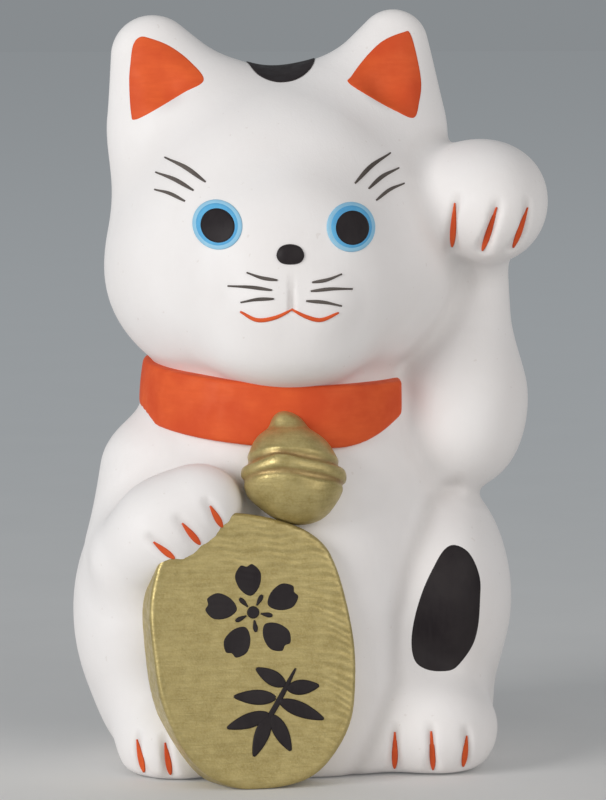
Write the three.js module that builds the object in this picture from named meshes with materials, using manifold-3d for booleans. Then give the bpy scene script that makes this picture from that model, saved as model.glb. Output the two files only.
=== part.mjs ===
// Beckoning cat figurine: a hollow painted clay figure, 206 mm tall, in millimetres.
// The cat faces -Y, +X is on the viewer's right, and it stands on z = 0.
import * as THREE from 'three';
import { mergeVertices } from 'three/addons/utils/BufferGeometryUtils.js';
import ManifoldModule from 'manifold-3d';

const kernel = await ManifoldModule();
kernel.setup();

// ---- driving sizes -------------------------------------------------------------------------
const HEIGHT = 206;          // to the tip of the taller ear
const WALL = 4.6;            // thickness of the clay
const GAP = 0.3;             // air between neighbouring pieces, filled by slip on the real figure
const CELL = 6.3;            // grid step for the outside of the figure
const SEAM_Y = 2;            // plane where the front and back halves meet
const FACE_X = -7;           // middle of the head
const HEAD_Z = HEIGHT - 62.5; // middle of the cranium
const HIP_Z = 37;
const ARM_X = 44;            // line of the raised forearm
const NECK_Z = 99;

// ---- fields: negative inside, positive outside ------------------------------------------------
const ball = ([cx, cy, cz], [rx, ry, rz]) => (x, y, z) => {
  const u = (x - cx) / rx;
  const v = (y - cy) / ry;
  const w = (z - cz) / rz;
  const near = Math.hypot(u, v, w) + 1e-9;
  return (near * (near - 1)) / (Math.hypot(u / rx, v / ry, w / rz) + 1e-9);
};

// a limb with round ends, ra thick at a and rb thick at b; flat > 1 thins it from front to back
const limb = (a, b, ra, rb, flat = 1) => {
  const axis = [b[0] - a[0], (b[1] - a[1]) * flat, b[2] - a[2]];
  const length2 = axis[0] ** 2 + axis[1] ** 2 + axis[2] ** 2;
  const taper = ra - rb;
  const slope = (length2 - taper * taper) / length2;
  const thinner = 1 + 0.45 * (flat - 1);
  return (x, y, z) => {
    const p = [x - a[0], (y - a[1]) * flat, z - a[2]];
    const along = (p[0] * axis[0] + p[1] * axis[1] + p[2] * axis[2]) / length2;
    const off2 = Math.max(p[0] ** 2 + p[1] ** 2 + p[2] ** 2 - along * along * length2, 0);
    const bend = taper * Math.sqrt(off2 / length2 / Math.max(slope, 1e-9));
    const t = Math.min(Math.max(along - bend / Math.sqrt(length2), 0), 1);
    const far = Math.hypot(p[0] - t * axis[0], p[1] - t * axis[1], p[2] - t * axis[2]);
    return (far - ra + t * taper) / thinner;
  };
};

const soften = (a, b, k) => {
  const h = Math.max(k - Math.abs(a - b), 0) / k;
  return Math.min(a, b) - (h * h * k) / 4;
};
const blend = (k, ...fields) => (x, y, z) =>
  fields.map((field) => field(x, y, z)).reduce((a, b) => soften(a, b, k));

// ---- the figure --------------------------------------------------------------------------------
const skull = blend(
  14,
  ball([FACE_X - 1, 0, HEAD_Z + 3.5], [44.5, 41, 42]),
  ball([FACE_X, -5, HEAD_Z - 11], [47, 40, 32.3]),
);
const muzzle = ball([FACE_X + 1, -38, HEAD_Z - 9], [21, 12, 22]);
const chin = ball([FACE_X, -35, HEAD_Z - 27], [15, 9, 8]);
const leftEar = limb([-34.5, 1, 175.5], [-42, 2, 193], 20.5, 11.7, 1.5);
const rightEar = limb([17.5, 1, 173.5], [24, 2, 196.5], 21.5, 9.7, 1.5);
const head = blend(13, blend(16, skull, muzzle), chin, leftEar, rightEar);

const shoulder = limb([-36, 6, 76], [-28, 14, 48], 16, 21);
const torso = blend(
  14,
  blend(20, shoulder, ball([-6, -3, 73], [43, 38, 37]), ball([-3.5, 4, HIP_Z], [53, 46, 45])),
  ball([-2, -22, 32], [27, 27, 40]),
  ball([-2, -2, 12], [53.5, 47, 25]),
);
const neck = ball([FACE_X, -2, NECK_Z], [37, 35, 17]);
const leftHaunch = blend(
  12,
  ball([-43, -8, 40.5], [22.3, 36, 33]),
  ball([-37.5, -31, 9], [16.5, 19, 15]),
);
const rightHaunch = blend(
  10,
  ball([36, -5, 44.5], [19.5, 34, 32.5]),
  ball([33, -32, 11.5], [17, 18, 15]),
);
const restingArm = blend(
  9,
  limb([-41, -7, 79], [-47.5, -16, 62], 16.5, 13.5),
  limb([-47, -31, 58], [-40, -40, 68], 14, 12.5),
  limb([-41.2, -42.2, 67.3], [-31.5, -43, 74.5], 11.8, 11),
);
const trunk = blend(8, blend(10, torso, neck), leftHaunch, rightHaunch);
const body = blend(6, blend(5, trunk, restingArm), head);

const forearm = blend(
  12,
  ball([ARM_X - 1.7, -10, 94.5], [17.3, 19, 20.5]),
  limb([ARM_X - 1.5, -7, 105], [ARM_X + 3, -4, 137], 14, 8.8),
);
const paw = blend(
  8,
  ball([ARM_X + 5, -17, 152.5], [15, 18, 15.5]),
  ball([ARM_X + 1, -13, 157.5], [17, 16, 12.7]),
);
const raisedArm = blend(8, forearm, paw);
const figure = blend(6, body, raisedArm);

// ---- fields into solids ---------------------------------------------------------------------------
const slopeAt = (field, p, step = 0.05) => [0, 1, 2].map((axis) => {
  const ahead = [...p];
  const behind = [...p];
  ahead[axis] += step;
  behind[axis] -= step;
  return (field(...ahead) - field(...behind)) / (2 * step);
});

const ontoSurface = (field, p, level) => {
  for (let round = 0; round < 4; round += 1) {
    const slope = slopeAt(field, p);
    const size2 = slope[0] ** 2 + slope[1] ** 2 + slope[2] ** 2 + 1e-9;
    const step = (field(...p) - level) / size2;
    p = p.map((value, axis) => value - step * slope[axis]);
  }
  return p;
};

// where diagonal corners of a grid face lie on one side and the other two on the other, the surface
// would pinch itself, so the corner nearest to the surface changes side
function unpinch(values, count, stride) {
  let pinched = true;
  while (pinched) {
    pinched = false;
    for (let key = 0; key < values.length - stride[2] - stride[1]; key += 1) {
      for (const [u, v] of [[0, 1], [1, 2], [2, 0]]) {
        if (Math.floor(key / stride[u]) % count[u] === count[u] - 1) continue;
        if (Math.floor(key / stride[v]) % count[v] === count[v] - 1) continue;
        const ring = [key, key + stride[u], key + stride[u] + stride[v], key + stride[v]];
        const [a, b, c, d] = ring.map((n) => values[n] < 0);
        if (a !== c || b !== d || a === b) continue;
        const nearest = ring.reduce((m, n) => (Math.abs(values[n]) < Math.abs(values[m]) ? n : m));
        values[nearest] = values[nearest] < 0 ? 1e-3 : -1e-3;
        pinched = true;
      }
    }
  }
}

// one vertex in each grid cell that the surface crosses, one quad round each crossed grid edge
function surface(field, low, high, cell, level = 0) {
  const count = low.map((value, axis) => Math.ceil((high[axis] - value) / cell) + 1);
  const stride = [1, count[0], count[0] * count[1]];
  const values = new Float64Array(count[0] * count[1] * count[2]);
  const place = (i, j, k) => [low[0] + i * cell, low[1] + j * cell, low[2] + k * cell];
  for (let k = 0; k < count[2]; k += 1) {
    for (let j = 0; j < count[1]; j += 1) {
      for (let i = 0; i < count[0]; i += 1) {
        values[i + j * stride[1] + k * stride[2]] = field(...place(i, j, k)) - level;
      }
    }
  }
  unpinch(values, count, stride);
  const points = [];
  const vertexOf = new Map();
  const corners = [0, 1, 2, 3, 4, 5, 6, 7].map((c) => [c & 1, (c >> 1) & 1, c >> 2]);
  const cellVertex = (i, j, k) => {
    const key = i + j * stride[1] + k * stride[2];
    if (vertexOf.has(key)) return vertexOf.get(key);
    const sum = [0, 0, 0];
    let crossings = 0;
    for (const corner of corners) {
      for (let axis = 0; axis < 3; axis += 1) {
        if (corner[axis]) continue;
        const from = key + corner[0] + corner[1] * stride[1] + corner[2] * stride[2];
        const a = values[from];
        const b = values[from + stride[axis]];
        if (a < 0 === b < 0) continue;
        const start = place(i + corner[0], j + corner[1], k + corner[2]);
        start[axis] += (cell * a) / (a - b);
        start.forEach((value, n) => { sum[n] += value; });
        crossings += 1;
      }
    }
    points.push(ontoSurface(field, sum.map((value) => value / crossings), level));
    vertexOf.set(key, points.length - 1);
    return points.length - 1;
  };
  const faces = [];
  for (let k = 1; k < count[2] - 1; k += 1) {
    for (let j = 1; j < count[1] - 1; j += 1) {
      for (let i = 1; i < count[0] - 1; i += 1) {
        const key = i + j * stride[1] + k * stride[2];
        for (let axis = 0; axis < 3; axis += 1) {
          const inside = values[key] < 0;
          if (inside === values[key + stride[axis]] < 0) continue;
          const u = (axis + 1) % 3;
          const v = (axis + 2) % 3;
          const ring = [[0, 0], [1, 0], [1, 1], [0, 1]].map(([du, dv]) => {
            const at = [i, j, k];
            at[u] -= du;
            at[v] -= dv;
            return cellVertex(...at);
          });
          if (!inside) ring.reverse();
          const [a, b, c, d] = ring;
          const span = (m, n) => Math.hypot(...points[m].map((value, q) => value - points[n][q]));
          if (span(a, c) < span(b, d)) faces.push([a, b, c], [a, c, d]);
          else faces.push([a, b, d], [b, c, d]);
        }
      }
    }
  }
  return { points, faces };
}

const toSolid = ({ points, faces }) => new kernel.Manifold(new kernel.Mesh({
  numProp: 3,
  vertProperties: new Float32Array(points.flat()),
  triVerts: new Uint32Array(faces.flat()),
}));

// the same triangles with every vertex moved outwards along the field
const grown = (skin, field, by) => toSolid({
  faces: skin.faces,
  points: skin.points.map((p) => {
    const slope = slopeAt(field, p);
    const size = Math.hypot(...slope);
    return p.map((value, axis) => value + (by * slope[axis]) / size);
  }),
});

// a three.js geometry as a solid
function solidOf(geometry) {
  const bare = new THREE.BufferGeometry();
  bare.setAttribute('position', geometry.getAttribute('position'));
  bare.setIndex(geometry.getIndex());
  const merged = mergeVertices(bare, 1e-4);
  const flat = [...merged.getAttribute('position').array];
  const index = [...merged.getIndex().array];
  const points = flat.flatMap((_, n) => (n % 3 ? [] : [flat.slice(n, n + 3)]));
  const faces = index.flatMap((_, n) => (n % 3 ? [] : [index.slice(n, n + 3)]));
  return toSolid({ points, faces: faces.filter(([a, b, c]) => a !== b && b !== c && a !== c) });
}

const block = (low, high) => {
  const size = high.map((value, axis) => value - low[axis]);
  const middle = high.map((value, axis) => (value + low[axis]) / 2);
  return solidOf(new THREE.BoxGeometry(...size).translate(...middle));
};

// everything between two sloping planes, drawn in the YZ plane
const slice = (outline) => {
  const shape = new THREE.Shape(outline.map(([y, z]) => new THREE.Vector2(y, z)));
  const prism = new THREE.ExtrudeGeometry(shape, { depth: 200, bevelEnabled: false });
  prism.translate(0, 0, -100);
  const turn = new THREE.Matrix4().set(0, 0, 1, 0, 1, 0, 0, 0, 0, 1, 0, 0, 0, 0, 0, 1);
  return solidOf(prism.applyMatrix4(turn));
};

// a profile of [radius, z] points turned about a vertical line through [x, y], and stretched along Y
const lathe = (profile, [x, y], segments, stretch = 1) => {
  const turned = new THREE.LatheGeometry(profile.map(([r, z]) => new THREE.Vector2(r, z)), segments);
  return solidOf(turned.rotateX(Math.PI / 2).scale(1, stretch, 1).translate(x, y, 0));
};

// ---- the hollow clay shell, open at the bottom through an oval ------------------------------------
const FLOOR = 6;
const OPENING = { centre: [-3, 0], radius: 34, stretch: 0.85 };
const oval = (radius, z0, z1) => lathe(
  [[0, z0], [radius, z0], [radius, z1], [0, z1]],
  OPENING.centre,
  56,
  OPENING.stretch,
);

const LOW = [-80, -80, -22.5];
const HIGH = [80, 70, 220];
const aboveTable = block([-100, -100, 0], [100, 100, 300]);
const outside = surface(figure, LOW, HIGH, CELL);
const clearOfFigure = grown(outside, figure, GAP);
const bodySkin = surface(body, LOW, HIGH, CELL);
const cavity = toSolid(surface(body, LOW, HIGH, CELL * 1.3, -WALL))
  .intersect(block([-100, -100, FLOOR], [100, 100, 300]))
  .add(oval(OPENING.radius, -1, FLOOR + 1));
const clay = toSolid(bodySkin).intersect(aboveTable).subtract(cavity);

// the raised arm is solid, and its clay is smoothed out over the body where it is luted on
function arm() {
  const beside = block([22, -60, 60], [90, 60, 185]);
  return toSolid(outside).subtract(grown(bodySkin, body, GAP)).intersect(beside);
}

// ---- bell: a lump of clay pressed on over the collar and the chest ---------------------------------
const BELL = [-6.7, -43, 83.3];
const BELL_LEAN = 0.08;
const onBell = (up) => [BELL[0] - BELL_LEAN * up, BELL[1], BELL[2] + up];
const bellShape = blend(
  1.5,
  ball(onBell(-0.6), [13.1, 11, 12.8]),
  ball(onBell(0.5), [13.9, 11.8, 2.6]),
  ball(onBell(11.6), [4.6, 4.8, 4]),
);
const bellSkin = surface(bellShape, [-30, -64, 60], [18, -20, 108], 2.2);
const clearOfBell = grown(bellSkin, bellShape, GAP);
const bell = () => toSolid(bellSkin).subtract(clearOfFigure);

// ---- collar: a clay band laid round the neck, which stops where the raised arm begins ---------------
const COLLAR = { radius: 39.5, stretch: 0.975, centre: [FACE_X, -2.2], endX: 24.4 };
function collar() {
  const { radius, stretch, centre, endX } = COLLAR;
  const barrel = lathe(
    [[0, 80], [radius - 0.4, 80], [radius, 97], [radius - 1.2, 108], [radius - 3, 120], [0, 120]],
    centre,
    72,
    stretch,
  );
  const top = (y) => 108.5 + 0.058 * y;
  const bottom = (y) => 93.7 + 0.115 * y;
  const band = slice([[-80, bottom(-80)], [80, bottom(80)], [80, top(80)], [-80, top(-80)]]);
  const pastEnd = block([endX, -100, 0], [100, -6, 300]);
  return barrel.intersect(band).subtract(pastEnd).subtract(clearOfFigure).subtract(clearOfBell);
}

// ---- koban: the oval coin, which stands on the table and leans on the belly -------------------------
const COIN = { wide: 54, tall: 76.6, thick: 15, face: [-17.9, -54.9, 38], shoulder: 37.8 };
const COIN_LEAN = THREE.MathUtils.degToRad(8);
const COIN_ROLL = THREE.MathUtils.degToRad(7);
const COIN_YAW = THREE.MathUtils.degToRad(5);
function koban() {
  const bevel = 1.4;
  const outline = new THREE.Shape();
  const sides = 48;
  for (let n = 0; n < sides; n += 1) {
    const angle = (2 * Math.PI * n) / sides;
    const rounded = (value) => Math.sign(value) * Math.abs(value) ** (2 / 2.4);
    const up = rounded(Math.sin(angle));
    const across = rounded(Math.cos(angle)) * (1 + 0.05 * up);
    const corner = [across * (COIN.wide / 2 - bevel), up * (COIN.tall / 2 - bevel)];
    const over = Math.max((corner[1] + 0.38 * corner[0]) / (COIN.shoulder - bevel), 1);
    const [x, y] = corner.map((value) => value / over);
    if (n) outline.lineTo(x, y);
    else outline.moveTo(x, y);
  }
  const slab = new THREE.ExtrudeGeometry(outline, {
    depth: COIN.thick - 2 * bevel,
    bevelSize: bevel,
    bevelThickness: bevel,
    bevelSegments: 2,
  });
  slab.translate(0, 0, bevel - COIN.thick);
  slab.rotateZ(COIN_ROLL).rotateX(Math.PI / 2 - COIN_LEAN).rotateZ(COIN_YAW);
  const leaning = solidOf(slab.translate(...COIN.face));
  return leaning.subtract(clearOfFigure).subtract(clearOfBell).intersect(aboveTable);
}

// ---- tail: lies against the back and curls up towards the raised arm -------------------------------
function tail() {
  const shape = blend(
    10,
    limb([-8, 47, 9], [14, 49.5, 11.5], 8, 8.5),
    limb([14, 49.5, 11.5], [27, 43, 36], 8.5, 6.5),
  );
  const skin = surface(shape, [-24, 26, -6], [42, 66, 50], 3.2);
  return toSolid(skin).subtract(clearOfFigure).intersect(aboveTable);
}

// ---- base: a clay plate that closes the bottom, and the stopper in its vent hole --------------------
const VENT = { at: [-2, 4], radius: 9.5, seat: 13.5, seatDepth: 2.6 };
const rod = (radius, z0, z1) => lathe([[0, z0], [radius, z0], [radius, z1], [0, z1]], VENT.at, 40);

function basePlate() {
  const plate = oval(OPENING.radius - GAP, 0, FLOOR);
  return plate.subtract(rod(VENT.seat, -1, VENT.seatDepth)).subtract(rod(VENT.radius, -1, FLOOR + 1));
}

function baseStopper() {
  const flange = VENT.seat - 0.4;
  const plug = VENT.radius - GAP;
  const shoulder = VENT.seatDepth - GAP;
  const top = FLOOR + 2.5;
  const disc = lathe([
    [0, 3.4], [6, 3.4], [7, 0.8], [flange - 0.6, 0.8], [flange, 1.3], [flange, shoulder],
    [plug, shoulder], [plug - 0.1, FLOOR], [plug - 1, top], [0, top],
  ], VENT.at, 40);
  const [x, y] = VENT.at;
  return disc.add(block([x - 1.5, y - 7.4, 1], [x + 1.5, y + 7.4, 4]));
}

// ---- hand-in --------------------------------------------------------------------------------------
const WHITE = '#ebe6e3';
const CLAY = 0.8;
const pieces = [
  ['front_shell', clay.intersect(block([-100, -100, -1], [100, SEAM_Y - GAP / 2, 300])), WHITE, CLAY, 0],
  ['back_shell', clay.intersect(block([-100, SEAM_Y + GAP / 2, -1], [100, 100, 300])), WHITE, CLAY, 0],
  ['raised_arm', arm(), WHITE, CLAY, 0],
  ['collar', collar(), '#dc5a32', 0.6, 0],
  ['bell', bell(), '#a8965f', 0.4, 0.7],
  ['koban', koban(), '#a8965f', 0.4, 0.7],
  ['tail', tail(), '#2b2526', 0.5, 0],
  ['base_plate', basePlate(), '#cfc4b8', 0.9, 0],
  ['base_stopper', baseStopper(), '#3a3a3c', 0.7, 0],
];

const group = new THREE.Group();
for (const [name, solid, color, roughness, metalness] of pieces) {
  const { vertProperties, triVerts } = solid.getMesh();
  const geometry = new THREE.BufferGeometry();
  geometry.setAttribute('position', new THREE.BufferAttribute(vertProperties, 3));
  geometry.setIndex(new THREE.BufferAttribute(triVerts, 1));
  geometry.computeVertexNormals();
  const mesh = new THREE.Mesh(geometry, new THREE.MeshStandardMaterial({ color, roughness, metalness }));
  mesh.name = name;
  group.add(mesh);
}
export default group;
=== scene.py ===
"""Looks of the beckoning cat figurine: painted clay skins, gold relief and brush marks.

Shapes are fields in millimetres, negative inside, with the cat facing -Y on z = 0. MM turns them
into the frame's metres. Each field becomes a fine mesh, and the paint is a thin film on top of it.
Left and right in names are the viewer's, seen from the front.
"""

import math

import bpy
import numpy as np
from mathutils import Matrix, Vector


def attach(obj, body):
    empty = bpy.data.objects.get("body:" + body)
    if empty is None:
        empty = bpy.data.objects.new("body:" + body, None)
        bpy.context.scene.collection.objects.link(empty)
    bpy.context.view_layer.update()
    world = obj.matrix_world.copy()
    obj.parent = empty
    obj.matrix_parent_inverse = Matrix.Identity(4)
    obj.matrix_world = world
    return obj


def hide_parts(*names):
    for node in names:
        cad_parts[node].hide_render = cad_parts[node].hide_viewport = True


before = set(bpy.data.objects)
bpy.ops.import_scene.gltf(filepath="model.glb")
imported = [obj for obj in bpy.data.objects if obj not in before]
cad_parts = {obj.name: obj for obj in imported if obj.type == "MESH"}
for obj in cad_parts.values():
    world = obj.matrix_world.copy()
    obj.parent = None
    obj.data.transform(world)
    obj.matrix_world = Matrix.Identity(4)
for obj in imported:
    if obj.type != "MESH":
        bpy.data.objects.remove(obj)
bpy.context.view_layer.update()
HEIGHT = 206.0
MM = 0.001

# ---- camera: a long lens, a little to the cat's right and just above it -------------------------
AZIMUTH = math.radians(-4)
ELEVATION = math.radians(6)
DISTANCE = 1.2
LENS = 194.4
SENSOR_WIDTH = 36
MIDDLE_Z = 102.5
SHIFT_RIGHT = -0.94 * MM
SHIFT_UP = -4.44 * MM

back = Vector((
    math.sin(AZIMUTH) * math.cos(ELEVATION),
    -math.cos(AZIMUTH) * math.cos(ELEVATION),
    math.sin(ELEVATION),
))
right = Vector((0, 0, 1)).cross(back).normalized()
up = back.cross(right)
aim = Vector((0, 0, MIDDLE_Z * MM)) + right * SHIFT_RIGHT + up * SHIFT_UP
camera = bpy.data.objects.new("camera", bpy.data.cameras.new("camera"))
camera.data.lens = LENS
camera.data.sensor_width = SENSOR_WIDTH
camera.location = aim + back * DISTANCE
camera.rotation_euler = (-back).to_track_quat("-Z", "Y").to_euler()
bpy.context.scene.collection.objects.link(camera)
bpy.context.scene.camera = camera


# ---- fields --------------------------------------------------------------------------------------
def ball(centre, radii):
    centre, radii = np.array(centre, float), np.array(radii, float)

    def field(p):
        q = (p - centre) / radii
        near = np.linalg.norm(q, axis=-1) + 1e-9
        return near * (near - 1) / (np.linalg.norm(q / radii, axis=-1) + 1e-9)

    return field


def limb(a, b, ra, rb, flat=1.0):
    """Round-ended limb, ra thick at a and rb thick at b; flat above 1 thins it from front to back."""
    a, b = np.array(a, float), np.array(b, float)
    squeeze = np.array([1, flat, 1])
    axis = (b - a) * squeeze
    length2 = axis @ axis
    taper = ra - rb
    slope = (length2 - taper * taper) / length2

    def field(p):
        q = (p - a) * squeeze
        along = q @ axis / length2
        off2 = np.maximum((q * q).sum(-1) - along * along * length2, 0)
        t = np.clip(along - taper * np.sqrt(off2 / slope) / length2, 0, 1)
        far = np.linalg.norm(q - t[..., None] * axis, axis=-1)
        return (far - ra + t * taper) / (1 + 0.45 * (flat - 1))

    return field


def ring(height, radius, thick, depth):
    """A ring lying round the second axis, squeezed along the third one to depth times its width."""
    def field(q):
        around = np.hypot(q[..., 0], q[..., 2] / depth)
        return np.hypot(around - radius, q[..., 1] - height) - thick

    return field


def soften(a, b, k):
    """The lower of two fields, with the crease between them filled to a radius of about k."""
    h = np.maximum(k - np.abs(a - b), 0) / k
    return np.minimum(a, b) - h * h * k / 4


def within(a, b, k):
    """The higher of two fields, with the edge between them rounded."""
    return -soften(-a, -b, k)


def blend(k, *fields):
    def field(p):
        total = fields[0](p)
        for other in fields[1:]:
            total = soften(total, other(p), k)
        return total

    return field


def carve(k, base, *tools):
    """base with the tools cut out of it, and the cut's edges rounded by k."""
    def field(p):
        total = base(p)
        for tool in tools:
            total = within(total, -tool(p), k)
        return total

    return field


def slopes(field, p, step=0.05):
    sides = []
    for axis in np.eye(3) * step:
        sides.append((field(p + axis) - field(p - axis)) / (2 * step))
    return np.stack(sides, -1)


def hollowness(field, p, reach):
    """0 on flat and rounded places, up to 1 in hollows about as narrow as reach."""
    around = sum(field(p + axis) + field(p - axis) for axis in np.eye(3) * reach)
    return np.clip((6 * field(p) - around) / reach, 0, 1)


def unit(v):
    return v / (np.linalg.norm(v, axis=-1, keepdims=True) + 1e-12)


def land(field, points, towards, rounds=70, caution=0.7, least=-4, most=20):
    """Moves points along a direction, in cautious steps, until they meet the field's surface."""
    p = np.array(points, float)
    towards = np.array(towards, float)
    for _ in range(rounds):
        p = p + towards * np.clip(field(p) * caution, least, most)[..., None]
    return p


def turn(axis, degrees):
    c, s = math.cos(math.radians(degrees)), math.sin(math.radians(degrees))
    rows = {"x": [[1, 0, 0], [0, c, -s], [0, s, c]], "z": [[c, -s, 0], [s, c, 0], [0, 0, 1]]}
    return np.array(rows[axis])


def standing(lean, roll, yaw):
    """Columns across, up and out of something that faces the front, leaning back by lean."""
    return turn("z", yaw) @ turn("x", 90 - lean) @ turn("z", roll)


# ---- the figure ----------------------------------------------------------------------------------
FACE_X = -7
HEAD_Z = HEIGHT - 62.5
HIP_Z = 37
ARM_X = 44
NECK_Z = 99
SEAM_Y = 2

skull = blend(
    14,
    ball([FACE_X - 1, 0, HEAD_Z + 3.5], [44.5, 41, 42]),
    ball([FACE_X, -5, HEAD_Z - 11], [47, 40, 32.3]),
)
muzzle = ball([FACE_X + 1, -38, HEAD_Z - 9], [21, 12, 22])
puffs = blend(
    2.5,
    ball([FACE_X - 5.5, -46.8, HEAD_Z - 14.5], [8.5, 5, 6.5]),
    ball([FACE_X + 6, -46.8, HEAD_Z - 14.5], [8.5, 5, 6.5]),
)
chin = ball([FACE_X - 1.5, -36, HEAD_Z - 26.5], [15.5, 10, 8])
left_ear = limb([-34.5, 1, 175.5], [-42, 2, 193], 20.5, 11.7, 1.5)
right_ear = limb([17.5, 1, 173.5], [24, 2, 196.5], 21.5, 9.7, 1.5)
head = blend(13, blend(6, blend(16, skull, muzzle), puffs), chin, left_ear, right_ear)

shoulder = limb([-36, 6, 76], [-28, 14, 48], 16, 21)
torso = blend(
    14,
    blend(20, shoulder, ball([-6, -3, 73], [43, 38, 37]), ball([-3.5, 4, HIP_Z], [53, 46, 45])),
    ball([-2, -22, 32], [27, 27, 40]),
    ball([-2, -2, 12], [53.5, 47, 25]),
)
neck = ball([FACE_X, -2, NECK_Z], [37, 35, 17])
left_haunch = blend(12, ball([-43, -8, 40.5], [22.3, 36, 33]), ball([-37.5, -31, 9], [16.5, 19, 15]))
right_haunch = blend(10, ball([36.8, -5, 44.5], [19.5, 34, 32.5]), ball([33, -32, 11.5], [17, 18, 15]))
resting_arm = blend(
    9,
    limb([-41, -7, 79], [-47.5, -16, 62], 16.5, 13.5),
    limb([-47, -31, 58], [-40, -40, 68], 14, 12.5),
    limb([-41.2, -42.2, 67.3], [-31.5, -43, 74.5], 11.8, 11),
)
trunk = blend(8, blend(10, torso, neck), left_haunch, right_haunch)
body = blend(6, blend(5, trunk, resting_arm), head)
forearm = blend(
    12,
    ball([ARM_X - 1.7, -10, 94.5], [17.3, 19, 20.5]),
    limb([ARM_X - 1.5, -7, 105], [ARM_X + 3, -4, 137], 14, 8.8),
)
paw = blend(
    8,
    ball([ARM_X + 5, -17, 152.5], [15, 18, 15.5]),
    ball([ARM_X + 1, -13, 157.5], [17, 16, 12.7]),
)
raised_arm = blend(8, forearm, paw)
rough_figure = blend(6, body, raised_arm)

# each claw is a red brush stroke in a groove between two toes, from its root to its tip (x, z)
CLAWS = {
    "raised": [
        ((38.1, 154.4), (38.2, 142.1)),
        ((49, 153.5), (45.9, 141.4)),
        ((57.8, 153.2), (54.3, 142.2)),
    ],
    "resting": [
        ((-44.5, 66.1), (-39, 61.6)),
        ((-36.9, 71.1), (-32.1, 65.2)),
        ((-29.4, 75.5), (-26.1, 69.6)),
    ],
    "left_foot": [((-48.8, 11.1), (-46.9, 2)), ((-41.4, 11), (-39.9, 2))],
    "right_foot": [((20.6, 12.8), (21, 2)), ((30.2, 13.3), (31.2, 2)), ((40, 11.7), (39.5, 2.6))],
}
BEFORE_CAT = -90.0
ABOVE_CAT = 215.0


def from_front(flat_points):
    """(x, z) points, placed in front of the cat."""
    return np.insert(np.array(flat_points, float), 1, BEFORE_CAT, axis=-1)


GROOVE_ROOT, GROOVE_TIP = 0.7, 1.5
GROOVE_LEAD = 1.5


def groove(root, tip, deep):
    """A tool that cuts the gap between two toes, deep mm into the surface at the claw's tip.

    It starts GROOVE_LEAD mm beyond the claw's root.
    """
    a, b = land(rough_figure, from_front([root, tip]), (0, 1, 0))
    out = unit(slopes(rough_figure, b))
    start = a + unit(a - b) * GROOVE_LEAD
    return limb(start, b + out * (GROOVE_TIP - deep), GROOVE_ROOT, GROOVE_TIP)


DEPTHS = {"raised": 0.8, "resting": -0.3, "left_foot": 1, "right_foot": 1}
grooves = [groove(*claw, DEPTHS[foot]) for foot, claws in CLAWS.items() for claw in claws]
philtrum = limb([FACE_X - 0.7, -53.3, 138.5], [FACE_X - 0.5, -53.1, 128], 0.5, 0.8)
ear_hollows = [
    limb([-40, -13, 187], [-43.5, -11, 193], 5, 3, 1.6),
    limb([22.5, -13, 187], [25.5, -11, 193.5], 5, 3, 1.6),
]
carved = carve(2.2, carve(1, carve(4, rough_figure, *ear_hollows), philtrum), *grooves)


def hand_made(p):
    """Slow unevenness of a surface smoothed by hand, in mm."""
    x, y, z = p[..., 0], p[..., 1], p[..., 2]
    waves = np.sin(x / 7.1 + z / 11.3) + np.sin(y / 6.3 - z / 8.7) + np.sin(z / 5.9 + x / 13.7)
    return 0.10 * waves


FOLD = [(40, 76.5), (33, 73), (26.5, 58), (22, 43), (21.3, 26), (12.5, 7), (9.5, 0)]
FOLD_WIDTH = 2.5
FOLD_DEPTH = 0.7
FOOT_ROUNDING = 3


def fold(p):
    """1 on the front fold that parts the thigh from the belly and the arm, falling to 0 beside it."""
    flat = p[..., [0, 2]]
    away = np.full(flat.shape[:-1], np.inf)
    for a, b in zip(FOLD, FOLD[1:]):
        along = np.subtract(b, a)
        t = np.clip((flat - a) @ along / (along @ along), 0, 1)
        away = np.minimum(away, np.linalg.norm(flat - a - t[..., None] * along, axis=-1))
    return np.where(p[..., 1] < 0, np.exp(-(away / FOLD_WIDTH) ** 2), 0)


def figure(p):
    """The clay figure's finished surface, cut off level at the table."""
    return within(carved(p) + hand_made(p) + FOLD_DEPTH * fold(p), -p[..., 2], FOOT_ROUNDING)


# ---- fields into meshes --------------------------------------------------------------------------
BLOCK = 8


def samples(field, low, cell, blocks):
    """Field values on a grid, worked out only in the blocks that the surface may cross."""
    index = np.stack(np.meshgrid(*[np.arange(n) for n in blocks], indexing="ij"), -1)
    middle = field(low + (index + 0.5) * BLOCK * cell)
    values = np.repeat(np.repeat(np.repeat(middle, BLOCK, 0), BLOCK, 1), BLOCK, 2)
    near = index[np.abs(middle) < 1.25 * BLOCK * cell]
    inner = np.stack(np.meshgrid(*[np.arange(BLOCK)] * 3, indexing="ij"), -1)
    for start in range(0, len(near), 2000):
        at = near[start:start + 2000, None, None, None, :] * BLOCK + inner
        values[at[..., 0], at[..., 1], at[..., 2]] = field(low + at * cell)
    return values


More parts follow.
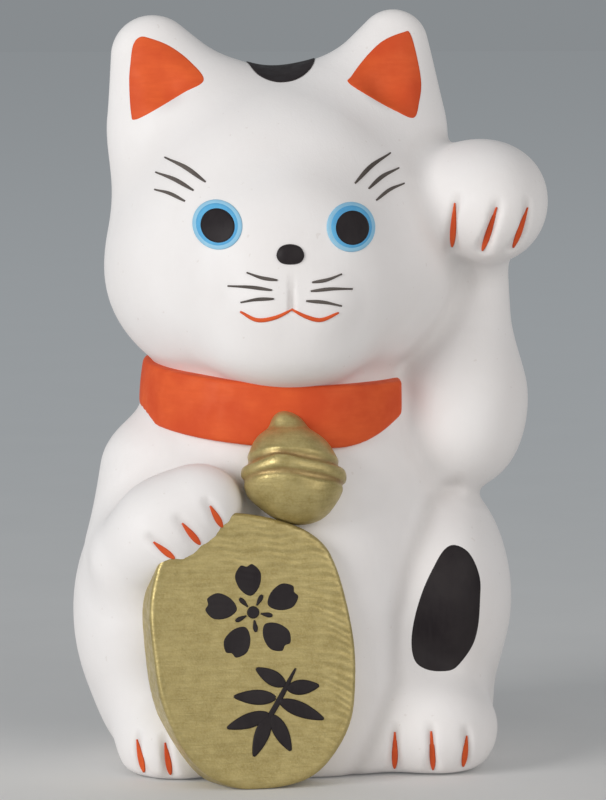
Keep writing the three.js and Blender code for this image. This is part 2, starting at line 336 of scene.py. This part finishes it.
def surface(field, low, high, cell):
    """Vertices in mm and triangles: a vertex in each crossed cell, a quad round each crossed edge."""
    low = np.array(low, float)
    blocks = np.ceil((np.array(high) - low) / cell / BLOCK).astype(int)
    values = samples(field, low, cell, blocks)
    inside = values < 0
    size = np.array(values.shape)
    corners = [(i, j, k) for i in (0, 1) for j in (0, 1) for k in (0, 1)]

    def part(array, corner):
        return array[tuple(slice(c, n - 1 + c) for c, n in zip(corner, size))]

    total = sum(part(inside, c).astype(np.int8) for c in corners)
    crossed = np.argwhere((total > 0) & (total < 8))
    number = np.full(size - 1, -1)
    number[tuple(crossed.T)] = np.arange(len(crossed))
    middle = np.zeros((len(crossed), 3))
    crossings = np.zeros(len(crossed))
    for corner in corners:
        for axis in range(3):
            if corner[axis]:
                continue
            a_at = crossed + corner
            b_at = a_at + np.eye(3, dtype=int)[axis]
            a, b = values[tuple(a_at.T)], values[tuple(b_at.T)]
            cut = (a < 0) != (b < 0)
            place = a_at.astype(float)
            place[:, axis] += a / np.where(cut, a - b, 1)
            middle[cut] += place[cut]
            crossings += cut
    points = low + middle / crossings[:, None] * cell
    for _ in range(2):
        slope = slopes(field, points)
        size2 = (slope * slope).sum(-1) + 1e-9
        points -= np.clip(field(points) / size2, -cell, cell)[:, None] * slope
    triangles = []
    for axis in range(3):
        u, v = (axis + 1) % 3, (axis + 2) % 3
        first = [slice(1, n - 1) for n in size]
        second = list(first)
        second[axis] = slice(2, size[axis])
        starts, ends = inside[tuple(first)], inside[tuple(second)]
        for outward in (True, False):
            at = np.argwhere((starts != ends) & (starts == outward)) + 1
            around = []
            for du, dv in ((0, 0), (1, 0), (1, 1), (0, 1)):
                cell_at = at.copy()
                cell_at[:, u] -= du
                cell_at[:, v] -= dv
                around.append(number[tuple(cell_at.T)])
            a, b, c, d = around if outward else around[::-1]
            triangles += [np.stack([a, b, c], -1), np.stack([a, c, d], -1)]
    return points, np.concatenate(triangles)


def clip(points, triangles, amounts):
    """Cuts a mesh where amounts, one for each vertex, pass zero: points, triangles below, and above."""
    points = list(points)
    amounts = list(amounts)
    cuts = {}
    parts = ([], [])

    def cut(a, b):
        key = (min(a, b), max(a, b))
        if key not in cuts:
            t = amounts[a] / (amounts[a] - amounts[b])
            points.append(points[a] + t * (points[b] - points[a]))
            amounts.append(0.0)
            cuts[key] = len(points) - 1
        return cuts[key]

    sides = np.array(amounts) < 0
    mixed = np.ptp(sides[triangles].astype(int), axis=1) > 0
    for part, below in zip(parts, (True, False)):
        part.extend(triangles[~mixed & (sides[triangles[:, 0]] == below)].tolist())
    for tri in triangles[mixed].tolist():
        lone = next(n for n in range(3) if sides[tri[n]] != sides[tri[n - 1]] == sides[tri[n - 2]])
        a, b, c = tri[lone], tri[lone - 2], tri[lone - 1]
        ab, ac = cut(a, b), cut(a, c)
        parts[0 if sides[a] else 1].append([a, ab, ac])
        parts[1 if sides[a] else 0].extend([[ab, b, c], [ab, c, ac]])
    return np.array(points), np.array(parts[0]), np.array(parts[1])


def piece(name, points, faces, material, node=None, recess=None):
    """A smooth mesh in the frame's metres, made from points in mm, riding on the figure."""
    mesh = bpy.data.meshes.new(name)
    mesh.from_pydata((points * MM).tolist(), [], faces)
    mesh.shade_smooth()
    mesh.materials.append(material)
    if recess is not None:
        mesh.attributes.new("recess", "FLOAT", "POINT").data.foreach_set("value", recess)
    obj = bpy.data.objects.new(name, mesh)
    bpy.context.scene.collection.objects.link(obj)
    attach(obj, "figure")
    if node:
        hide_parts(node)
    return obj


# ---- materials -----------------------------------------------------------------------------------
class Recipe:
    """A Principled material in the making, with textures that read the piece's own coordinates."""

    def __init__(self, name, metallic=0.0, specular=0.5):
        self.made = bpy.data.materials.new(name)
        self.made.use_nodes = True
        self.tree = self.made.node_tree
        self.shader = self.tree.nodes["Principled BSDF"]
        self.shader.inputs["Metallic"].default_value = metallic
        self.shader.inputs["Specular IOR Level"].default_value = specular
        self.place = self.node("TexCoord", output="Object")

    def node(self, kind, inputs=(), output=0, **settings):
        made = self.tree.nodes.new("ShaderNode" + kind)
        for key, value in settings.items():
            setattr(made, key, value)
        for key, value in dict(inputs).items():
            self.fill(made.inputs[key], value)
        return made.outputs[output]

    def fill(self, socket, value):
        if isinstance(value, bpy.types.NodeSocket):
            self.tree.links.new(value, socket)
        else:
            socket.default_value = value

    def noise(self, size, detail=3.0, stretch=(1, 1, 1), wander=0.0):
        """Noise in patches about size mm across, longer along each axis by its stretch."""
        scale = [1 / (size * MM * longer) for longer in stretch]
        at = self.node("Mapping", {"Vector": self.place, "Scale": scale})
        inputs = {"Vector": at, "Scale": 1.0, "Detail": detail, "Distortion": wander}
        return self.node("TexNoise", inputs)

    def spread(self, value, low, high, lowest=0.35, highest=0.65):
        """A value between lowest and highest, turned into one between low and high."""
        limits = {"From Min": lowest, "From Max": highest, "To Min": low, "To Max": high}
        return self.node("MapRange", {"Value": value, **limits})

    def mix(self, amount, a, b):
        colours = [c if isinstance(c, bpy.types.NodeSocket) else (*c, 1) for c in (a, b)]
        return self.node("MixRGB", {"Fac": amount, "Color1": colours[0], "Color2": colours[1]})

    def times(self, value, by):
        return self.node("Math", {0: value, 1: by}, operation="MULTIPLY")

    def attribute(self, name):
        return self.node("Attribute", output="Fac", attribute_name=name)

    def finish(self, colour, roughness, bumps):
        """Sets colour and roughness, and stacks bumps, each a height and its depth in mm."""
        self.fill(self.shader.inputs["Base Color"], colour)
        self.fill(self.shader.inputs["Roughness"], roughness)
        normal = None
        for height, depth in bumps:
            inputs = {"Height": height, "Distance": depth * MM, "Strength": 1.0}
            if normal:
                inputs["Normal"] = normal
            normal = self.node("Bump", inputs)
        self.fill(self.shader.inputs["Normal"], normal)
        return self.made


def gofun():
    """White shell-powder paint: chalky, cloudy, with faint brush marks, and painted shade darkening its
    creases and hollows.
    """
    r = Recipe("white_gofun", specular=0.3)
    cloud = r.spread(r.noise(24, 4), 0, 1)
    colour = r.mix(cloud, (0.885, 0.862, 0.852), (0.85, 0.822, 0.808))
    # painted shade: the recess attribute darkens creases, hollows and the front fold
    colour = r.mix(r.times(r.attribute("recess"), 0.55), colour, (0.6, 0.57, 0.55))
    specks = r.spread(r.noise(1.3, 0), 0, 0.3, 0.82, 0.86)
    colour = r.mix(specks, colour, (0.66, 0.6, 0.56))
    brush = r.noise(1.8, 3, (1, 1, 7), 0.6)
    roughness = r.spread(r.noise(6), 0.52, 0.72)
    return r.finish(colour, roughness, [(brush, 0.05), (r.noise(0.5, 2), 0.02), (r.noise(9, 1), 0.12)])


def pigment(name, light, dark, gloss, slant=(5, 5, 1), streak=1.2):
    """Opaque brushed colour: streaks along the stroke, thin and thick places, and a fine tooth."""
    r = Recipe(name, specular=0.15)
    load = r.spread(r.noise(12, 4), 0, 1)
    stroke = r.spread(r.noise(streak, 3, slant, 0.4), 0, 1)
    colour = r.mix(load, light, dark)
    colour = r.mix(r.times(stroke, 0.35), colour, dark)
    roughness = r.spread(r.noise(3), *gloss)
    bumps = [(r.noise(streak, 3, slant, 0.4), 0.04), (r.noise(0.45, 2), 0.015)]
    return r.finish(colour, roughness, bumps)


def gold():
    """Brass powder paint: mottled, brushed across, thin over red in hollows."""
    r = Recipe("gold_paint", metallic=0.5)
    mottle = r.spread(r.noise(3.4, 5), 0, 1)
    powder = r.spread(r.noise(0.55, 2), 0, 1)
    stroke = r.spread(r.noise(0.9, 3, (9, 9, 1), 0.8), 0, 1, 0.38, 0.62)
    colour = r.mix(mottle, (0.5, 0.405, 0.165), (0.4, 0.315, 0.115))
    colour = r.mix(r.times(powder, 0.3), colour, (0.62, 0.53, 0.27))
    colour = r.mix(r.times(stroke, 0.25), colour, (0.27, 0.205, 0.07))
    colour = r.mix(r.times(r.attribute("recess"), 0.6), colour, (0.25, 0.11, 0.04))
    roughness = r.spread(r.noise(2), 0.33, 0.52)
    bumps = [(r.noise(0.9, 3, (9, 9, 1), 0.8), 0.06), (r.noise(0.5, 3), 0.05)]
    return r.finish(colour, roughness, bumps)


def clay():
    """Fired, unpainted clay, sanded flat: sandy grain and smudges."""
    r = Recipe("bare_clay")
    grain = r.spread(r.noise(0.6, 4), 0, 1)
    colour = r.mix(r.spread(r.noise(11, 4), 0, 1), (0.62, 0.52, 0.43), (0.52, 0.43, 0.35))
    colour = r.mix(r.times(grain, 0.4), colour, (0.4, 0.33, 0.27))
    return r.finish(colour, r.spread(r.noise(4), 0.82, 0.95), [(r.noise(0.7, 4), 0.12)])


def rubber():
    """Moulded rubber with a fine matt skin and a little dust."""
    r = Recipe("rubber")
    tone_mask = r.spread(r.noise(5, 4), 0, 0.5)
    colour = r.mix(tone_mask, (0.03, 0.03, 0.032), (0.09, 0.088, 0.085))
    return r.finish(colour, r.spread(r.noise(3), 0.55, 0.75), [(r.noise(0.35, 2), 0.03)])


WHITE = gofun()
GOLD = gold()
RED = pigment("vermilion", (0.79, 0.13, 0.034), (0.66, 0.085, 0.024), (0.5, 0.66))
BLACK = pigment("black_paint", (0.017, 0.013, 0.015), (0.03, 0.025, 0.026), (0.42, 0.58), (1, 1, 6))
BLUE = pigment("iris_blue", (0.13, 0.46, 0.75), (0.09, 0.36, 0.68), (0.5, 0.6), (2, 1, 2))
PALE_BLUE = pigment("iris_pale_blue", (0.34, 0.62, 0.8), (0.26, 0.54, 0.76), (0.5, 0.6), (2, 1, 2))
GREY = pigment("whisker_grey", (0.075, 0.062, 0.055), (0.13, 0.112, 0.1), (0.6, 0.75), (2, 1, 2), 0.8)
CLAY = clay()
RUBBER = rubber()

# ---- clay skins: one surface, divided along the seams so that its pieces meet exactly --------------
SKIN = 2.6
FINE = 1.0
ARM_LEFT = 26
ARM_LOW, ARM_HIGH = 63, 179
# strengths of the painted shade in broad creases and along the front fold
CREASE_SHADE = 0.8
FOLD_SHADE = 0.9


def arm_side(p):
    """Below zero on the raised arm, whose seam is the valley where it meets the head and the body."""
    own = raised_arm(p) - body(p)
    x, z = p[..., 0], p[..., 2]
    beside = np.maximum(ARM_LEFT - x, np.maximum(ARM_LOW - z, z - ARM_HIGH))
    return np.maximum(own, beside)


def skin(name, points, faces, node):
    """A closed skin SKIN thick, shaded by the figure's own slopes so that no seam shows."""
    used, index = np.unique(faces, return_inverse=True)
    faces = index.reshape(faces.shape)
    outer = points[used]
    count = len(outer)
    outward = unit(slopes(figure, outer))
    sides = np.concatenate([faces[:, [0, 1]], faces[:, [1, 2]], faces[:, [2, 0]]])
    paired = np.isin(sides[:, 0] * count + sides[:, 1], sides[:, 1] * count + sides[:, 0])
    a, b = sides[~paired].T
    rim = np.stack([b, a, a + count, b + count], -1)
    everything = faces.tolist() + (faces[:, ::-1] + count).tolist() + rim.tolist()
    # painted shade: darker in broad creases, along the front fold and in narrow hollows
    tone_mask = np.maximum(CREASE_SHADE * hollowness(figure, outer, 5), FOLD_SHADE * fold(outer))
    recess = np.maximum(hollowness(figure, outer, 1.5), tone_mask)
    obj = piece(
        name,
        np.concatenate([outer, outer - outward * SKIN]),
        everything,
        WHITE,
        node=node,
        recess=np.tile(recess, 2),
    )
    obj.data.normals_split_custom_set_from_vertices(np.concatenate([outward, -outward]).tolist())


points, faces = surface(figure, [-80, -72, -6], [84, 64, 214], FINE)
points, arm_faces, body_faces = clip(points, faces, arm_side(points))
OPENING = {"x": -3, "wide": 34, "deep": 28.9, "below": 3}
opening = np.hypot((points[:, 0] - OPENING["x"]) / OPENING["wide"], points[:, 1] / OPENING["deep"]) - 1
opening = np.where(points[:, 2] > OPENING["below"], 1.0, opening)
points, _, body_faces = clip(points, body_faces, opening)
points, front_faces, back_faces = clip(points, body_faces, points[:, 1] - SEAM_Y)
skin("front_skin", points, front_faces, "front_shell")
skin("back_skin", points, back_faces, "back_shell")
skin("raised_arm_skin", points, arm_faces, "raised_arm")


# ---- bell, collar, koban and tail -----------------------------------------------------------------
def modelled(name, field, low, high, cell, material, node, reach=None):
    """A node's piece, made from a field, with its hollows marked where reach is given."""
    points, faces = surface(field, low, high, cell * FINE)
    recess = hollowness(field, points, reach) if reach else None
    return piece(name, points, faces.tolist(), material, node=node, recess=recess)


BELL = np.array([-6.7, -43, 83.3])
BELL_AXES = standing(18, -1, 0)
BELL_DEPTH = 0.86
BELL_DENTS = 0.19
bell_lump = blend(
    1.8,
    blend(4, ball([-0.3, 0.4, 0], [12.7, 12.4, 10.8]), ball([0.7, -1.8, 0], [12.1, 12, 11])),
    ring(0.2, 11.9, 2.0, BELL_DEPTH),
    ball([-1.2, 12, 0.4], [4.9, 4.2, 5]),
)
upper_groove = ring(2.9, 13.3, 1.0, BELL_DEPTH)
lower_groove = ring(-2.3, 13.9, 0.9, BELL_DEPTH)
bell_shape = carve(0.9, bell_lump, upper_groove, lower_groove)


def bell(p):
    """The lump and its two grooves, sagging towards the sides, with dents left by the fingers."""
    q = (p - BELL) @ BELL_AXES
    u, v = q[..., 0], q[..., 1]
    lumps = np.sin(u / 1.9 + 1) * np.sin(v / 2.3) + np.sin(u / 3.1 - v / 2.7)
    sag = 0.05 * u + 0.35 * np.sin(u / 3.4) + 0.006 * u * u
    wavy = q + np.stack([0 * u, sag, 0 * u], -1)
    return bell_shape(wavy) + BELL_DENTS * lumps


modelled("bell", bell, [-30, -64, 60], [18, -20, 108], 0.5, GOLD, "bell", 0.8)

COLLAR = {"y": -2.2, "z": 97, "radius": 39.5, "depth": 0.975, "sunk": 0.5}
COLLAR_END = 24.4
COLLAR_BULGE = 0.007


def collar(p):
    """A bulging band with sloping edges, a clipped lower corner, and an end before the raised arm."""
    x, y, z = p[..., 0], p[..., 1], p[..., 2]
    reach = np.hypot(x - FACE_X, (y - COLLAR["y"]) / COLLAR["depth"])
    barrel = reach - (COLLAR["radius"] - COLLAR_BULGE * (z - COLLAR["z"]) ** 2)
    top = z - (108.2 + 0.058 * y - 0.047 * x)
    bottom = within(93.4 + 0.115 * y - 0.045 * x - z, (78.8 + 0.73 * x - z) / 1.24, 5)
    ends = np.minimum(x - COLLAR_END, -6 - y)
    outline = within(within(top, bottom, 1), ends, 1)
    return within(barrel, np.maximum(outline, -COLLAR["sunk"] - rough_figure(p)), 1.2)


modelled("collar", collar, [-60, -60, 80], [36, 50, 120], 0.7, RED, "collar")

COIN = {"wide": 54, "tall": 76.6, "thick": 15, "sunk": 1.2, "face": np.array([-17.9, -54.9, 38])}
COIN_AXES = standing(8, 7, 5)
COIN_POWER = 2.4
RIPPLE_DEPTH = 0.075


def ripples(u, v):
    """Relief of the coin's hammered lines, in mm: shallow arcs, clearest at its top and right."""
    arc = np.hypot(u + 6, v + 62) + 0.6 * np.sin(u / 4.3) + 0.5 * np.sin(u / 1.9 + v / 3.3)
    clear = 0.15 + np.exp(-((v - 31) / 11) ** 2) + 0.8 * np.exp(-((u - 25) / 6) ** 2)
    return RIPPLE_DEPTH * np.minimum(clear, 1) * (np.sin(arc * 3.1) + 0.6 * np.sin(arc * 1.37 + 2))


def koban(p):
    """An oval slab with a rippled face, one flattened shoulder, and its back sunk into the belly."""
    q = (p - COIN["face"]) @ COIN_AXES
    u, v, w = q[..., 0], q[..., 1], q[..., 2]
    half_wide, half_tall = COIN["wide"] / 2, COIN["tall"] / 2
    rim = (np.abs(v) / half_tall) ** COIN_POWER + (np.abs(u) / half_wide) ** COIN_POWER
    side = (rim ** (1 / COIN_POWER) - 1) * half_wide
    side = side + 0.04 * np.minimum(w + 1, 0) + 0.12 * np.sin(v / 3.7 + u / 5)
    shoulder_cut = (v + 0.38 * u - 37.8) / 1.07
    slab = within(within(side, shoulder_cut, 7), w + ripples(u, v), 1.6)
    slab = np.maximum(slab, -COIN["sunk"] - rough_figure(p))
    return np.maximum(slab, np.maximum(-w - COIN["thick"], 0.2 - p[..., 2]))


modelled("koban", koban, [-56, -70, -4], [16, -34, 84], 0.5, GOLD, "koban")

tail_shape = blend(
    10,
    limb([-8, 47, 9], [14, 49.5, 11.5], 8, 8.5),
    limb([14, 49.5, 11.5], [27, 43, 36], 8.5, 6.5),
)


def tail(p):
    return within(tail_shape(p) + hand_made(p), 0.6 - p[..., 2], 2)


modelled("tail", tail, [-24, 30, -4], [42, 66, 50], 1.0, BLACK, "tail")


# ---- paint films ---------------------------------------------------------------------------------
EDGE_HEIGHT = -0.05
FILM_THICKNESS = 0.25


def smooth_curve(corners, count, closed):
    """count points on a curve through the corners."""
    corners = np.array(corners, float)
    if closed:
        t = np.arange(count) * len(corners) / count
        i = t.astype(int)
        a, b, c, d = (corners[(i + k) % len(corners)] for k in (-1, 0, 1, 2))
    else:
        ends = np.array([2 * corners[0] - corners[1], *corners, 2 * corners[-1] - corners[-2]])
        t = np.linspace(0, len(corners) - 1, count)
        i = np.minimum(t.astype(int), len(corners) - 2)
        a, b, c, d = (ends[i + k] for k in range(4))
    f = (t - i)[:, None]
    return b + 0.5 * f * (c - a + f * (2 * a - 5 * b + 4 * c - d + f * (3 * (b - c) + d - a)))


def quads(rows, columns, closed):
    faces = []
    for r in range(rows - 1):
        for c in range(columns if closed else columns - 1):
            n = (c + 1) % columns
            low, high = r * columns, (r + 1) * columns
            faces.append([low + c, low + n, high + n, high + c])
    return faces


def patch(outline, rings=12, count=96, lift=0.07, dome=0.0):
    """A blob of paint: flat points, faces, and heights above the surface."""
    rim = smooth_curve(outline, count, True)
    centre = rim.mean(0)
    steps = np.append(np.linspace(0.02, 0.985, rings), 1)
    flat = np.concatenate([centre + (rim - centre) * t for t in steps])
    height = np.repeat(lift + dome * np.sqrt(np.maximum(1 - steps ** 2, 0)), count)
    height[-count:] = EDGE_HEIGHT
    faces = quads(len(steps), count, True) + [list(range(count))[::-1]]
    return flat, faces, height


def stroke(line, width, peak=0.5, count=28, lift=0.08, blunt=0.75):
    """A brush stroke along a line, pointed at both ends and widest at peak: points, faces, heights."""
    path = smooth_curve(line, count, False)
    along = np.gradient(path, axis=0)
    across = unit(np.stack([-along[:, 1], along[:, 0]], -1))
    t = np.linspace(0.004, 0.996, count)
    swell = np.sin(math.pi * t ** (math.log(0.5) / math.log(peak))) ** blunt
    offsets = np.array([-1, -0.8, -0.4, 0, 0.4, 0.8, 1]) * width / 2
    sideways = across[:, None] * (offsets[None, :, None] * swell[:, None, None])
    flat = (path[:, None] + sideways).reshape(-1, 2)
    height = np.full((count, len(offsets)), lift)
    height[:, [0, -1]] = EDGE_HEIGHT
    return flat, quads(count, len(offsets), False), height.ravel()


def disc(x, z, rx, rz, sides=12):
    t = np.arange(sides) * 2 * math.pi / sides
    return np.stack([x + rx * np.cos(t), z + rz * np.sin(t)], -1)


def film(name, marks, paint, field=figure, place=from_front, towards=(0, 1, 0)):
    """All marks of one paint, landed on a surface as thin closed films in one piece."""
    points, faces, start = [], [], 0
    for flat, mark_faces, height in marks:
        landed = land(field, place(flat), towards)
        points.append(landed + unit(slopes(field, landed, 0.3)) * height[:, None])
        faces += [[n + start for n in face] for face in mark_faces]
        start += len(flat)
    obj = piece(name, np.concatenate(points), faces, paint)
    sheet = obj.modifiers.new("thickness", "SOLIDIFY")
    sheet.thickness = FILM_THICKNESS * MM
    sheet.offset = -1
    return obj


# middle (x, z) of each eye, and its width against a full one
EYES = [(-26.8, 149.7, 0.95), (8.7, 149.1, 1.0)]
film("iris_rims", [patch(disc(x, z, 6.6 * wide, 6.3)) for x, z, wide in EYES], PALE_BLUE)
film("irises", [patch(disc(x, z, 5.6 * wide, 5.4), lift=0.11) for x, z, wide in EYES], BLUE)
pupils = [patch(disc(x + 0.2, z - 0.3, 4.55 * wide, 4.35), lift=0.16) for x, z, wide in EYES]
film("pupils", pupils, BLACK)
NOSE = [
    (-11.6, 142), (-10.6, 144.2), (-8, 145), (-5.3, 144.2),
    (-4.2, 142), (-5.3, 140.1), (-8, 139.6), (-10.5, 140.1),
]
film("nose", [patch(NOSE, dome=1.1)], BLACK)
WHISKERS = [
    [(-19.4, 137.4), (-15.5, 136.1), (-11.4, 135.5)],
    [(-24.3, 133.7), (-18.5, 133.6), (-12.9, 132.9)],
    [(-21, 129.5), (-16.8, 130.4), (-12.4, 130.6)],
    [(5.8, 136.9), (1.8, 135.5), (-2.2, 134.9)],
    [(8.7, 132.9), (3, 133.1), (-2.6, 132.6)],
    [(5.7, 128.5), (1, 129.6), (-3.8, 130)],
]
BROWS = [
    [(-39.9, 166.6), (-34.6, 164.2), (-29.5, 160.6)],
    [(-42.4, 162.6), (-37.6, 161), (-32.7, 158.3)],
    [(-42.8, 158.1), (-39, 157.3), (-35, 155.4)],
    [(21.1, 167.7), (15.4, 164.6), (10.4, 160.2)],
    [(23.3, 163.7), (18.5, 161.8), (14.2, 158.7)],
    [(24.6, 159.6), (20.3, 158.2), (16.2, 155.6)],
]
brow_marks = [stroke(line, width, 0.6, blunt=1.1) for line, width in zip(BROWS, (0.8, 0.7, 0.5) * 2)]
film("whiskers", [stroke(line, 0.5, 0.64, blunt=1.1) for line in WHISKERS], GREY)
film("brows", brow_marks, GREY)
LIPS = [
    [(-21.1, 127), (-16.8, 124.9), (-12, 125.6), (-7.3, 127.8)],
    [(4.9, 126.7), (0.2, 124.9), (-3.8, 125.8), (-7.7, 127.8)],
]
film("mouth", [stroke(line, 0.72, 0.45, blunt=0.8) for line in LIPS], RED)
claw_marks = [stroke(claw, 1.4, 0.62, lift=0.12) for claws in CLAWS.values() for claw in claws]
film("claws", claw_marks, RED)
EARS = [
    [
        (-46, 198.8), (-43, 198.4), (-37.8, 196.3), (-32.5, 192.3), (-28.8, 187.2), (-34.2, 183.8),
        (-41.9, 179.2), (-47.6, 176.3), (-48.7, 178), (-49.1, 186.3), (-48.7, 191.7), (-47.9, 196.6),
    ],
    [
        (26.4, 200), (28.4, 199.7), (30.1, 193.7), (31.2, 186.3), (30.4, 181), (28.6, 176.7),
        (23.3, 178.7), (16.7, 182.3), (10.6, 186.3), (11.6, 188.3), (16.3, 193.8), (20.9, 197.8),
    ],
]
film("ear_paint", [patch(outline, rings=20, count=140) for outline in EARS], RED)
THIGH = [
    (38.2, 61.8), (42.2, 59.3), (44.8, 53.1), (44.8, 46.8), (44.2, 39.1), (42.5, 33.6), (38.6, 28.8),
    (35.3, 27.7), (30.1, 28.3), (26.8, 30.6), (25.8, 35.3), (26.6, 42), (28.8, 49.4), (31.6, 55.4),
    (34.9, 60.5),
]
film("thigh_patch", [patch(THIGH, rings=20)], BLACK)
CROWN = [
    (-15.6, -3.6), (-13.2, -9.9), (-8.2, -13.6), (-2.6, -11.3), (1.6, -4),
    (1.8, 8), (-4, 18), (-12, 14), (-16.2, 6),
]


def from_above(flat_points):
    """(x, y) points, placed above the cat."""
    return np.insert(np.array(flat_points, float), 2, ABOVE_CAT, axis=-1)


film(
    "crown_patch", [patch(CROWN, rings=20)], BLACK,
    place=from_above, towards=(0, 0, -1),
)


BEFORE_COIN = 6.0


def before_coin(flat_points):
    """Points across and up the coin's face, placed in front of it."""
    return COIN["face"] + np.insert(np.array(flat_points, float), 2, BEFORE_COIN, axis=-1) @ COIN_AXES.T


PETAL = [
    (0.34, 0), (0.5, 0.2), (0.78, 0.27), (0.98, 0.13),
    (0.95, 0), (0.98, -0.13), (0.78, -0.27), (0.5, -0.2),
]


def plum_blossom(x, z, size):
    """Five petals round a middle dot, with a short stamen between each two."""
    marks = [patch(disc(x, z, 0.11 * size, 0.11 * size))]
    for n in range(5):
        angle = math.radians(90 + 72 * n)
        c, s = math.cos(angle), math.sin(angle)
        outline = [(x + size * (a * c - b * s), z + size * (a * s + b * c)) for a, b in PETAL]
        marks.append(patch(outline))
        c, s = math.cos(angle + math.radians(36)), math.sin(angle + math.radians(36))
        stamen = [(x + size * t * c, z + size * t * s) for t in (0.16, 0.27, 0.4)]
        marks.append(stroke(stamen, 0.9, 0.7))
    return marks


LEAVES = [
    ((-1, -1), (-12.5, -3)), ((-1, -1.5), (-6.5, -11.5)), ((0, -1.5), (3.5, -11.5)),
    ((2.5, 2), (13.5, -4.5)), ((1.5, 3), (-9.5, 5)), ((5, 5), (13.5, 4.5)), ((4.5, 6), (-2.5, 11.5)),
]


def bamboo(x, z):
    """A slanting stalk with seven pointed leaves."""
    marks = [stroke([(x - 4, z - 5), (x + 1, z + 0.5), (x + 8, z + 10)], 1.2)]
    for (x0, z0), (x1, z1) in LEAVES:
        marks.append(stroke([(x + x0, z + z0), (x + x1, z + z1)], 3.9, 0.42))
    return marks


film(
    "koban_motifs", plum_blossom(1.1, 8.9, 13) + bamboo(2.3, -17.5), BLACK,
    field=koban, place=before_coin, towards=-COIN_AXES[:, 2],
)

# ---- base ----------------------------------------------------------------------------------------
for name, finish in (("base_plate", CLAY), ("base_stopper", RUBBER)):
    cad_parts[name].data.materials.clear()
    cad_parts[name].data.materials.append(finish)

# ---- floor, light and air ------------------------------------------------------------------------
AIR = (0.245, 0.262, 0.275)
FLOOR = 8.0
POOL = {"x": -0.1, "y": -0.25, "radius": 0.8}
# painted light: how much brighter the floor's glow is near the cat, and how fast that falls off
GLOW_BOOST = 0.45
GLOW_FALLOFF = 0.13
floor_mesh = bpy.data.meshes.new("floor")
floor_corners = [(-FLOOR, -FLOOR, 0), (FLOOR, -FLOOR, 0), (FLOOR, FLOOR, 0), (-FLOOR, FLOOR, 0)]
floor_mesh.from_pydata(floor_corners, [], [(0, 1, 2, 3)])


def floor_paint():
    """A pale floor that fades with distance into a glow of the air's colour; the glow is painted light,
    brighter nearer the cat.
    """
    r = Recipe("floor")
    span = [1 / POOL["radius"]] * 3
    middle = [-POOL["x"] / POOL["radius"], -POOL["y"] / POOL["radius"], 0]
    at = r.node("Mapping", {"Vector": r.place, "Scale": span, "Location": middle})
    away = r.node("VectorMath", {0: at, 1: at}, output="Value", operation="DOT_PRODUCT")
    fade = r.node("Math", {0: 1.0, 1: r.node("Math", {0: away, 1: 1.0})}, operation="DIVIDE")
    # painted light: the glow's strength, falling off with distance from the cat
    thin = r.node("Math", {0: r.times(away, GLOW_FALLOFF), 1: 1.0})
    painted_glow = r.node("Math", {0: GLOW_BOOST, 1: thin}, operation="DIVIDE")
    glow = r.node("Emission", {"Color": (*AIR, 1), "Strength": r.node("Math", {0: painted_glow, 1: 1.0})})
    pale = r.mix(r.spread(r.noise(60), 0, 1), (0.8, 0.79, 0.775), (0.77, 0.76, 0.745))
    made = r.finish(pale, 0.8, [(r.noise(1.5), 0.02)])
    mixed = r.node("MixShader", {0: fade, 1: glow, 2: r.shader.outputs["BSDF"]})
    r.tree.links.new(mixed, r.tree.nodes["Material Output"].inputs["Surface"])
    return made


floor_mesh.materials.append(floor_paint())
floor = bpy.data.objects.new("floor", floor_mesh)
bpy.context.scene.collection.objects.link(floor)


def area_light(name, place, size, power, colour=(1, 1, 1)):
    light = bpy.data.objects.new(name, bpy.data.lights.new(name, "AREA"))
    light.data.shape = "DISK"
    light.data.size = size
    light.data.energy = power
    light.data.color = colour
    light.location = place
    aim_at = Vector((0, 0, MIDDLE_Z * MM))
    light.rotation_euler = (aim_at - light.location).to_track_quat("-Z", "Y").to_euler()
    bpy.context.scene.collection.objects.link(light)


area_light("key", (-1.15, -0.8, 0.5), 0.8, 12.8, (1, 0.985, 0.975))
area_light("fill", (0.8, -1.0, 0.6), 1.4, 7, (1, 0.94, 0.9))
world = bpy.data.worlds.new("studio")
bpy.context.scene.world = world
world.use_nodes = True
world.node_tree.nodes["Background"].inputs["Color"].default_value = (*AIR, 1)
world.node_tree.nodes["Background"].inputs["Strength"].default_value = 1.0
bpy.context.scene.view_settings.view_transform = "Standard"
